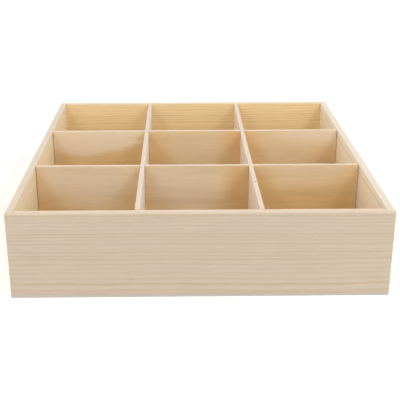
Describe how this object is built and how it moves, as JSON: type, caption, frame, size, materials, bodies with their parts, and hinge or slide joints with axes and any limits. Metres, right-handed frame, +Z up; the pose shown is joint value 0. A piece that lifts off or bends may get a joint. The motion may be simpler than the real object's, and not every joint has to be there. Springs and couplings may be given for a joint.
{
  "type": "compartment storage box",
  "caption": "Square open pine box with a thin plywood bottom and a loose half-lapped plywood grid that divides it into equal square compartments.",
  "frame": {"origin": "centre of the footprint, on the surface that the box stands on", "axes": "+Z up through the open top, -Y to the front board, +X to the right seen from the front"},
  "size_m": [0.33, 0.33, 0.08],
  "materials": {
    "clear_pine": "planed and sanded, unfinished pale pine with straight fine growth rings",
    "pale_plywood": "unfinished pale three-ply with a smooth tan face and a lighter sawn edge",
    "bright_steel": "bright drawn wire"
  },
  "bodies": {
    "box": {"back_board": "clear_pine", "bottom_brad_back_1": "bright_steel", "bottom_brad_back_2": "bright_steel", "bottom_brad_back_3": "bright_steel", "bottom_brad_back_4": "bright_steel", "bottom_brad_front_1": "bright_steel", "bottom_brad_front_2": "bright_steel", "bottom_brad_front_3": "bright_steel", "bottom_brad_front_4": "bright_steel", "bottom_brad_left_1": "bright_steel", "bottom_brad_left_2": "bright_steel", "bottom_brad_left_3": "bright_steel", "bottom_brad_left_4": "bright_steel", "bottom_brad_right_1": "bright_steel", "bottom_brad_right_2": "bright_steel", "bottom_brad_right_3": "bright_steel", "bottom_brad_right_4": "bright_steel", "bottom_panel": "pale_plywood", "corner_brad_back_left_1": "bright_steel", "corner_brad_back_left_2": "bright_steel", "corner_brad_back_left_3": "bright_steel", "corner_brad_back_right_1": "bright_steel", "corner_brad_back_right_2": "bright_steel", "corner_brad_back_right_3": "bright_steel", "corner_brad_front_left_1": "bright_steel", "corner_brad_front_left_2": "bright_steel", "corner_brad_front_left_3": "bright_steel", "corner_brad_front_right_1": "bright_steel", "corner_brad_front_right_2": "bright_steel", "corner_brad_front_right_3": "bright_steel", "front_board": "clear_pine", "left_board": "clear_pine", "right_board": "clear_pine"},
    "cross_dividers": {"cross_divider_front": "pale_plywood", "cross_divider_back": "pale_plywood"},
    "long_divider_left": {"long_divider_left": "pale_plywood"},
    "long_divider_right": {"long_divider_right": "pale_plywood"}
  },
  "joints": [
    {"name": "cross_dividers_lift", "type": "slide", "parent": "box", "child": "cross_dividers", "axis": [0, 0, 1], "range_m": [0, 0.09]},
    {"name": "long_divider_left_lift", "type": "slide", "parent": "cross_dividers", "child": "long_divider_left", "axis": [0, 0, 1], "range_m": [0, 0.09]},
    {"name": "long_divider_right_lift", "type": "slide", "parent": "cross_dividers", "child": "long_divider_right", "axis": [0, 0, 1], "range_m": [0, 0.09]}
  ]
}
